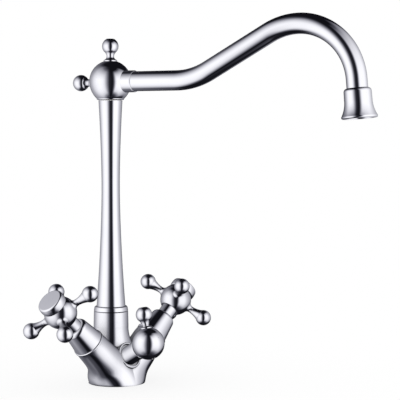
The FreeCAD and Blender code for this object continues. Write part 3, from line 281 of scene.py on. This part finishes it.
def light_tent():
    to_lens = Vector((CAMERA_PLACE.x, CAMERA_PLACE.y, 0)).normalized()
    to_right = Vector((-to_lens.y, to_lens.x, 0))
    middle = to_lens * TENT_TOWARDS_LENS + Vector((0, 0, TENT_HEIGHT))
    shell = bmesh.new()
    bmesh.ops.create_icosphere(shell, subdivisions=TENT_FINENESS, radius=TENT_RADIUS)
    bmesh.ops.translate(shell, verts=shell.verts, vec=middle)
    mesh = bpy.data.meshes.new("light_tent")
    shell.to_mesh(mesh)
    shell.free()
    tent = bpy.data.objects.new("light_tent", mesh)
    bpy.context.scene.collection.objects.link(tent)
    tent.visible_camera = False
    tent.visible_diffuse = False
    tent.visible_shadow = False
    mesh.materials.append(tent_material(middle, to_lens, to_right))
    return tent


tent = light_tent()
print("light tent:", len(tent.data.polygons), "faces, radius", TENT_RADIUS, "m")

# %% [markdown]
# ## World, floor and lamps
#
# Everything that isn't a mirror sees plain white all round, which shows colours as they are
# written. The tap stands on a white sweep. A diffuse white floor always comes out a little
# grey, so to the camera it is mostly plain white, with the diffuse share left in for the
# soft shadow round the foot. Mirrors don't see it, because the tent already holds what the
# chrome sees below it.

# %% World, floor and lamps
FLOOR_SIZE = 12.0
FLOOR_DROP = 0.0002
FLOOR_WHITE = 0.93
FLOOR_GLOW = 0.80
FLOOR_FADE = (0.04, 0.35)    # over this distance from the foot the floor turns to plain white
LAMPS = [("key_lamp", (-1.6, -1.8, 2.2), 4.0), ("fill_lamp", (1.9, -0.9, 1.8), 2.0)]
LAMP_SIZE = 1.6


def white_world():
    world = bpy.data.worlds.new("white_room")
    world.use_nodes = True
    world.node_tree.nodes.clear()
    start = Wire(world.node_tree)
    white = start.node("ShaderNodeBackground", {"Color": (1, 1, 1, 1), "Strength": 1.0})
    start.node("ShaderNodeOutputWorld", {"Surface": white}, output=None)
    return world


def white_floor():
    half = FLOOR_SIZE / 2
    corners = [(-half, -half), (half, -half), (half, half), (-half, half)]
    mesh = bpy.data.meshes.new("floor")
    mesh.from_pydata([(x, y, -FLOOR_DROP) for x, y in corners], [], [(0, 1, 2, 3)])
    floor = bpy.data.objects.new("floor", mesh)
    bpy.context.scene.collection.objects.link(floor)
    floor.visible_glossy = False
    material = bpy.data.materials.new("white_sweep")
    start = surface(material)
    white = (FLOOR_WHITE, FLOOR_WHITE, FLOOR_WHITE, 1)
    paper = start.node("ShaderNodeBsdfDiffuse", {"Color": white})
    glow = start.node("ShaderNodeEmission", {"Color": (1, 1, 1, 1), "Strength": 1.0})
    place = start.node("ShaderNodeTexCoord", output="Object")
    distance = start.node("ShaderNodeVectorMath", {0: place}, "Value", operation="LENGTH")
    far = distance.step(*FLOOR_FADE)
    camera_ray = start.node("ShaderNodeLightPath", output="Is Camera Ray")
    seen = camera_ray * (far * (1 - FLOOR_GLOW) + FLOOR_GLOW)
    finish_surface(start, start.node("ShaderNodeMixShader", {0: seen, 1: paper, 2: glow}))
    mesh.materials.append(material)


def soft_lamp(name, place, watts):
    data = bpy.data.lights.new(name, "AREA")
    data.size = LAMP_SIZE
    data.energy = watts
    lamp = bpy.data.objects.new(name, data)
    lamp.location = place
    lamp.rotation_euler = Vector(place).to_track_quat("Z", "Y").to_euler()
    lamp.visible_glossy = False
    bpy.context.scene.collection.objects.link(lamp)


bpy.context.scene.world = white_world()
white_floor()
for name, place, watts in LAMPS:
    soft_lamp(name, place, watts)
print("world, floor and", len(LAMPS), "lamps ready")

# %% [markdown]
# ## Finishes
#
# Chrome plate is nearly a perfect mirror, so its finish lies in small faults. Wiping leaves
# faint smears that roughen the mirror a little, and polishing by hand on a mop leaves the
# casting very slightly wavy. Both come from noise on object coordinates, so they stay on the
# tap when it moves. The few inner pieces are machined brass, ground steel, black rubber,
# white ceramic and two plastics, each with the marks that its making leaves.

# %% Finish helpers
def noise(start, place, scale, detail=2.0):
    return start.node(
        "ShaderNodeTexNoise", {"Vector": place, "Scale": scale, "Detail": detail}, "Fac"
    )


def bump(height, strength, distance):
    return height.node(
        "ShaderNodeBump", {"Height": height, "Strength": strength, "Distance": distance}, "Normal"
    )


def blend(share, first, second):
    return share.node("ShaderNodeMix", {0: share, 6: first, 7: second}, 2, data_type="RGBA")


def tint(share, dark, light):
    """A colour between two, by a share that changes over the surface."""
    return blend(share, (*dark, 1), (*light, 1))


def finish_of(name, build):
    material = bpy.data.materials.new(name)
    start = surface(material)
    place = start.node("ShaderNodeTexCoord", output="Object")
    shader = start.node("ShaderNodeBsdfPrincipled", build(start, place))
    finish_surface(start, shader)
    return material


print("finish helpers ready")

# %% [markdown]
# ## Chrome
#
# One function makes both chromes: the turned and drawn pieces are mirrors, and the casting
# keeps a trace of the waviness that the polishing mop follows. Where pieces meet, a thin dark
# line of painted shade darkens the base colour. The deep hollows of a piece, such as the
# crotch of the casting and the roots of the handle's arms, are dimmed by painted shade too.
# It stands in for the shade and the dark neighbours that these mirrors don't show.
# Masks painted by hand would miss the corners as soon as a size changes. Ambient occlusion
# finds them by itself: a short reach over all pieces gives the seams, and a long reach over
# the piece alone gives its own hollows, so that nothing changes when the handles turn.

# %% Chrome
SMEAR_SCALE, SMEAR_RANGE = 42.0, (0.42, 0.75)
SWIRL_SCALE, WAVE_SCALE, WAVE_HEIGHT = 900.0, 26.0, 0.001
SMEAR_DULLING, SWIRL_DULLING = 0.018, 0.012
WIPED_PLATE, SMEARED_PLATE = (0.84, 0.84, 0.895), (0.81, 0.81, 0.87)
# painted shade: ambient occlusion settings and ramps that darken the chrome's colour in seams and
# hollows
CORNER_RAYS = 6
SEAM_REACH = 0.003
HOLLOW_REACH = 0.018
CASTING_HOLLOW_REACH = 0.034
SEAM_STOPS = ((0.0, 0.05), (0.30, 0.25), (0.60, 0.90), (0.80, 1.0))
HOLLOW_STOPS = ((0.0, 0.05), (0.45, 0.20), (0.72, 0.80), (0.90, 1.0))
# the colour of the painted shade in seams and hollows
PAINTED_SHADE_COLOUR = (0.03, 0.03, 0.035)


# the mask for painted shade: ambient occlusion through a ramp
def openness(start, reach, stops, alone):
    """1 on open surfaces, falling to 0 in the corners that lie within reach."""
    sky = start.node(
        "ShaderNodeAmbientOcclusion",
        {"Distance": reach},
        "AO",
        samples=CORNER_RAYS,
        only_local=alone,
    )
    return sky.ramp(*stops)


def chrome(roughness, waviness, hollow_reach):
    def build(start, place):
        smears = noise(start, place, SMEAR_SCALE, 3.0).step(*SMEAR_RANGE)
        swirl = noise(start, place, SWIRL_SCALE)
        waves = noise(start, place, WAVE_SCALE, 1.0)
        # painted shade masks: 1 on open chrome, falling to 0 in seams and hollows
        seams = openness(start, SEAM_REACH, SEAM_STOPS, False)
        unshaded_share = openness(start, hollow_reach, HOLLOW_STOPS, True) * seams
        plate = tint(smears, WIPED_PLATE, SMEARED_PLATE)
        return {
            # painted shade: the plate colour turns nearly black in seams and hollows
            "Base Color": blend(unshaded_share, (*PAINTED_SHADE_COLOUR, 1), plate),
            "Metallic": 1.0,
            "Roughness": smears * SMEAR_DULLING + swirl * SWIRL_DULLING + roughness,
            "Normal": bump(waves, waviness, WAVE_HEIGHT),
        }

    return build


finishes = {"chrome": finish_of("polished_chrome", chrome(0.035, 0.02, HOLLOW_REACH))}
finishes["cast_chrome"] = finish_of("cast_chrome", chrome(0.045, 0.05, CASTING_HOLLOW_REACH))
print("chrome finishes:", sorted(finishes))

# %% [markdown]
# ## Inner finishes
#
# Turned brass and steel carry fine rings from the lathe, which a stretched noise stands for.
# Rubber is nearly black with a dusty bloom, lapped ceramic is smooth and faintly speckled,
# and the moulded plastics are matt with an even grain.

# %% Inner finishes
LATHE_STRETCH = (60.0, 60.0, 2600.0)
LATHE_DULLING, LATHE_BUMP, LATHE_HEIGHT = 0.12, 0.25, 0.0001
CLOUD_SCALE = 90.0
GRAIN_DULLING, GRAIN_BUMP, GRAIN_HEIGHT = 0.15, 0.3, 0.0002


def machined(dark, light, roughness):
    def build(start, place):
        rings = start.node("ShaderNodeMapping", {"Vector": place, "Scale": LATHE_STRETCH})
        marks = noise(start, rings, 1.0)
        return {
            "Base Color": tint(marks, dark, light),
            "Metallic": 1.0,
            "Roughness": marks * LATHE_DULLING + roughness,
            "Normal": bump(marks, LATHE_BUMP, LATHE_HEIGHT),
        }

    return build


def moulded(dark, light, roughness, grain):
    def build(start, place):
        cloud = noise(start, place, CLOUD_SCALE, 4.0)
        fine = noise(start, place, grain, 2.0)
        return {
            "Base Color": tint(cloud, dark, light),
            "Roughness": fine * GRAIN_DULLING + roughness,
            "Normal": bump(fine, GRAIN_BUMP, GRAIN_HEIGHT),
        }

    return build


INNER_FINISHES = {
    "brass": machined((0.70, 0.50, 0.20), (0.86, 0.68, 0.34), 0.18),
    "steel": machined((0.50, 0.51, 0.53), (0.68, 0.69, 0.71), 0.22),
    "rubber": moulded((0.022, 0.022, 0.024), (0.060, 0.060, 0.064), 0.55, 1500.0),
    "ceramic": moulded((0.90, 0.90, 0.86), (0.95, 0.95, 0.93), 0.12, 2500.0),
    "acetal": moulded((0.86, 0.86, 0.83), (0.92, 0.92, 0.90), 0.35, 1200.0),
    "insert_plastic": moulded((0.66, 0.67, 0.69), (0.76, 0.77, 0.78), 0.38, 1600.0),
}
for name, build in INNER_FINISHES.items():
    finishes[name] = finish_of(name, build)

slots = {row["node"]: row["material_slot"] for row in frame["record"]["subparts"]}
for name, node in nodes.items():
    node.data.materials.clear()
    node.data.materials.append(finishes["cast_chrome" if name == "valve_body" else slots[name]])
print("dressed", len(nodes), "nodes with", len(finishes), "finishes")

# %% [markdown]
# ## Geometry Nodes recipes
#
# What follows a rule is best made by the rule. A Geometry Nodes tree is such a rule with
# named inputs for its sizes. The same Wire class builds it, because a tree of geometry has
# sockets and Math nodes as a shader has. `made_by` runs a tree once on an empty mesh and
# keeps the result as a plain mesh, so no modifier is left for the export.

# %% Recipe helpers
MERGE_DISTANCE = 0.001 * MM
SHARP_ANGLE = math.radians(40)
made_pieces = []


def recipe(name, sizes):
    """A geometry tree with one named input for each size, and the wires to build on."""
    tree = bpy.data.node_groups.new(name, "GeometryNodeTree")
    tree.is_modifier = True
    tree.interface.new_socket("Geometry", in_out="OUTPUT", socket_type="NodeSocketGeometry")
    for label, size in sizes.items():
        kind = "NodeSocketInt" if isinstance(size, int) else "NodeSocketFloat"
        tree.interface.new_socket(label, in_out="INPUT", socket_type=kind)
    entry = tree.nodes.new("NodeGroupInput")
    return Wire(tree), {label: Wire(tree, entry.outputs[label]) for label in sizes}


def end_recipe(geometry, material):
    """Realize Instances and Set Material, because the export drops instances."""
    real = geometry.node("GeometryNodeRealizeInstances", {"Geometry": geometry})
    dressed = real.node("GeometryNodeSetMaterial", {"Geometry": real, "Material": material})
    dressed.node("NodeGroupOutput", {"Geometry": dressed}, output=None)


def kept_mesh(start, sizes, name):
    """Evaluate a recipe on an empty mesh, and keep only the mesh that comes out."""
    host = bpy.data.objects.new(name + "_recipe", bpy.data.meshes.new(name + "_empty"))
    modifier = host.modifiers.new("recipe", "NODES")
    modifier.node_group = start.tree
    for item in start.tree.interface.items_tree:
        if item.item_type == "SOCKET" and item.in_out == "INPUT":
            modifier[item.identifier] = sizes[item.name]
    bpy.context.scene.collection.objects.link(host)
    graph = bpy.context.evaluated_depsgraph_get()
    mesh = bpy.data.meshes.new_from_object(host.evaluated_get(graph))
    host.modifiers.clear()
    bpy.data.objects.remove(host)
    mesh.name = name
    return mesh


def made_by(start, sizes, name):
    """Run a recipe once and make its result a closed piece with outward faces."""
    mesh = kept_mesh(start, sizes, name)
    work = bmesh.new()
    work.from_mesh(mesh)
    bmesh.ops.remove_doubles(work, verts=work.verts, dist=MERGE_DISTANCE)
    bmesh.ops.recalc_face_normals(work, faces=work.faces)
    open_edges = sum(not edge.is_manifold for edge in work.edges)
    work.to_mesh(mesh)
    work.free()
    mesh.shade_smooth()
    mesh.set_sharp_from_angle(angle=SHARP_ANGLE)
    piece = bpy.data.objects.new(name, mesh)
    bpy.context.scene.collection.objects.link(piece)
    made_pieces.append(piece)
    print(name, len(mesh.polygons), "faces,", open_edges, "open edges")
    return piece


print("recipe helpers ready")

# %% [markdown]
# ## The spout tube
#
# The spout is one drawn tube, bent on a machine that knows only runs and bends: a level run
# out of the ball, a lift, a straight ramp, a wide crest, a tighter drop and a short tail.
# The tree follows the same list. Each run or bend adds its own shift to a point, cut off at
# its own length, so the sum of all shifts is the centre line. A circle swept along it is the
# outside, and pulling that surface in by the wall gives the bore. A curve drawn by hand could
# look the same, but its bends would have no radius that a bending machine can be set to.

# %% Spout sizes
BALL_RADIUS = 19.2
RING_RADIUS = 9.9
TUBE_IN_BALL = 6.0

SPOUT_SIZES = {
    # from the column's axis to where the tube starts, inside the ball
    "Buried start": (math.sqrt(BALL_RADIUS ** 2 - RING_RADIUS ** 2) - TUBE_IN_BALL) * MM,
    "Level run": 70.0 * MM,
    "Lift radius": 69.5 * MM,
    "Lift angle": math.radians(27.9),
    "Ramp": 66.0 * MM,
    "Crest radius": 61.5 * MM,
    "Drop radius": 53.0 * MM,
    "Drop angle": math.radians(85.0),
    "Tail": (7.2 + 8.5) * MM,
    "Tube radius": 9.0 * MM,
    "Wall": 1.0 * MM,
    "Swing": math.radians(15.5),
    "Set back": 7.5 * MM,
    "Height": 275.1 * MM,
    "Path points": 200,
    "Sides": 80,
}
print("spout tube:", round(2 * SPOUT_SIZES["Tube radius"] / MM, 1), "mm across")

# %% Runs and bends
def cosine(wire):
    return wire.node("ShaderNodeMath", {0: wire}, operation="COSINE")


def sine(wire):
    return wire.node("ShaderNodeMath", {0: wire}, operation="SINE")


class BentLine:
    """The centre line as a sum of runs and bends, for a point at a given distance along it."""

    def __init__(self, distance):
        self.distance = distance
        self.gone = distance * 0
        self.heading = distance * 0
        self.across = distance * 0
        self.rise = distance * 0

    def part(self, length):
        """How far the point is along the next part, between 0 and the part's length."""
        done = (self.distance - self.gone).at_least(0.0).at_most(length)
        self.gone = self.gone + length
        return done

    def run(self, length):
        done = self.part(length)
        self.across = self.across + done * cosine(self.heading)
        self.rise = self.rise + done * sine(self.heading)

    def bend(self, radius, angle, way):
        done = self.part(radius * angle)
        turned = self.heading + done / radius * way
        self.across = self.across + (sine(turned) - sine(self.heading)) * radius * way
        self.rise = self.rise + (cosine(self.heading) - cosine(turned)) * radius * way
        self.heading = self.heading + angle * way


def tube_length(size):
    bends = (size["Lift radius"] + size["Crest radius"]) * size["Lift angle"]
    bends = bends + size["Drop radius"] * size["Drop angle"]
    return size["Level run"] - size["Buried start"] + size["Ramp"] + size["Tail"] + bends


def centre_line(start, size):
    """A curve of evenly spaced points, each shifted to its place on the bent line."""
    index = start.node("GeometryNodeInputIndex")
    line = BentLine(index * (tube_length(size) / (size["Path points"] - 1)))
    line.run(size["Level run"] - size["Buried start"])
    line.bend(size["Lift radius"], size["Lift angle"], 1)
    line.run(size["Ramp"])
    line.bend(size["Crest radius"], size["Lift angle"], -1)
    line.bend(size["Drop radius"], size["Drop angle"], -1)
    line.run(size["Tail"])
    place = start.node(
        "ShaderNodeCombineXYZ", {"Y": -line.across - size["Buried start"], "Z": line.rise}
    )
    straight = start.node("GeometryNodeCurvePrimitiveLine")
    dots = start.node(
        "GeometryNodeResampleCurve", {"Curve": straight, "Count": size["Path points"]}
    )
    return start.node("GeometryNodeSetPosition", {"Geometry": dots, "Position": place})


print("runs and bends ready")

# %% Spout tube
def spout_recipe(sizes, material):
    start, size = recipe("spout_tube_recipe", sizes)
    circle = start.node(
        "GeometryNodeCurvePrimitiveCircle",
        {"Resolution": size["Sides"], "Radius": size["Tube radius"]},
    )
    outside = start.node(
        "GeometryNodeCurveToMesh", {"Curve": centre_line(start, size), "Profile Curve": circle}
    )
    facing_in = start.node("GeometryNodeFlipFaces", {"Mesh": outside})
    inside = start.node(
        "GeometryNodeExtrudeMesh",
        {"Mesh": facing_in, "Offset Scale": size["Wall"], "Individual": False},
    )
    both = start.node("GeometryNodeJoinGeometry", {"Geometry": [outside, inside]})
    turn = start.node("ShaderNodeCombineXYZ", {"Z": size["Swing"]})
    shift = start.node("ShaderNodeCombineXYZ", {"Y": size["Set back"], "Z": size["Height"]})
    placed = start.node(
        "GeometryNodeTransform", {"Geometry": both, "Rotation": turn, "Translation": shift}
    )
    end_recipe(placed, material)
    return start


def box_of(piece):
    columns = list(zip(*[vertex.co for vertex in piece.data.vertices]))
    return [min(column) for column in columns], [max(column) for column in columns]


spout = made_by(spout_recipe(SPOUT_SIZES, finishes["chrome"]), SPOUT_SIZES, "bent_spout_tube")
differences = [
    abs(made - planned)
    for made_corner, planned_corner in zip(box_of(spout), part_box("spout_tube"))
    for made, planned in zip(made_corner, planned_corner)
]
print("the boxes of tube and solid differ by at most", round(max(differences) / MM, 3), "mm")
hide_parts("spout_tube")
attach(spout, "spout")

# %% [markdown]
# ## The threads underneath
#
# Two inlet hoses and the front valve's outlet screw into M10 x 1 threads, and the fixing stud
# into an M8 thread. The CAD has plain bores there, because a helix is heavy to compute and
# adds nothing to a fit. In a picture from below the bores would look unfinished, so a small
# ridge winds round each. A spiral curve with a three-sided profile is the whole thread, and
# one thread is set on a point for each hose.

# %% Threads
DOTS_A_TURN = 28
RIDGE_SIDES = 3
THREAD_SIZES = {
    "hose_threads": {
        "Bore radius": 4.5 * MM,
        "Pitch": 1.0 * MM,
        "Turns": 7.0,
        "Ridge": 0.42 * MM,
        "Foot height": 6.5 * MM,
        "Spacing": 21.0 * MM,
        "Forward": 5.0 * MM,
        "Outlet": 13.0 * MM,
    },
    "stud_thread": {
        "Bore radius": 3.4 * MM,
        "Pitch": 1.25 * MM,
        "Turns": 8.0,
        "Ridge": 0.5 * MM,
        "Foot height": 6.6 * MM,
        "Back": 11.0 * MM,
    },
}


def thread_places(size):
    if "Back" in size:
        return [(0.0, size["Back"])]
    half = size["Spacing"] * 0.5
    return [(-half, -size["Forward"]), (half, -size["Forward"]), (0.0, -size["Outlet"])]


def thread_coil(start, size):
    return start.node(
        "GeometryNodeCurveSpiral",
        {
            "Resolution": DOTS_A_TURN,
            "Rotations": size["Turns"],
            "Start Radius": size["Bore radius"],
            "End Radius": size["Bore radius"],
            "Height": size["Pitch"] * size["Turns"],
        },
    )


def thread_recipe(name, sizes, material):
    start, size = recipe(name + "_recipe", sizes)
    profile = start.node(
        "GeometryNodeCurvePrimitiveCircle", {"Resolution": RIDGE_SIDES, "Radius": size["Ridge"]}
    )
    thread = start.node(
        "GeometryNodeCurveToMesh",
        {"Curve": thread_coil(start, size), "Profile Curve": profile, "Fill Caps": True},
    )
    points = []
    for x, y in thread_places(size):
        spot = start.node("ShaderNodeCombineXYZ", {"X": x, "Y": y, "Z": size["Foot height"]})
        points.append(start.node("GeometryNodePoints", {"Count": 1, "Position": spot}))
    spots = start.node("GeometryNodeJoinGeometry", {"Geometry": points})
    threads = start.node("GeometryNodeInstanceOnPoints", {"Points": spots, "Instance": thread})
    end_recipe(threads, material)
    return start


for name, sizes in THREAD_SIZES.items():
    thread = made_by(thread_recipe(name, sizes, finishes["cast_chrome"]), sizes, name)
    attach(thread, "faucet_body")

# %% [markdown]
# ## What the mirrors see
#
# In the photograph the large forms mirror the tent and hardly their neighbours: the column
# stays clean, with no bent pictures of the handles in it. The handles themselves do show small
# dark pictures of each other. Letting every piece mirror every other gives those, but it also
# covers the column, the socket and the front ball with pictures that the photograph lacks.
# So the pieces are left out of glossy rays, and only the tent is mirrored. What is lost in the
# handles is stood for by painted shade: the chrome's colour is darkened in its seams and hollows.

# %% Clean mirrors
for piece in [*nodes.values(), *made_pieces]:
    piece.visible_glossy = False
print("pieces left out of mirrors:", len(nodes) + len(made_pieces))
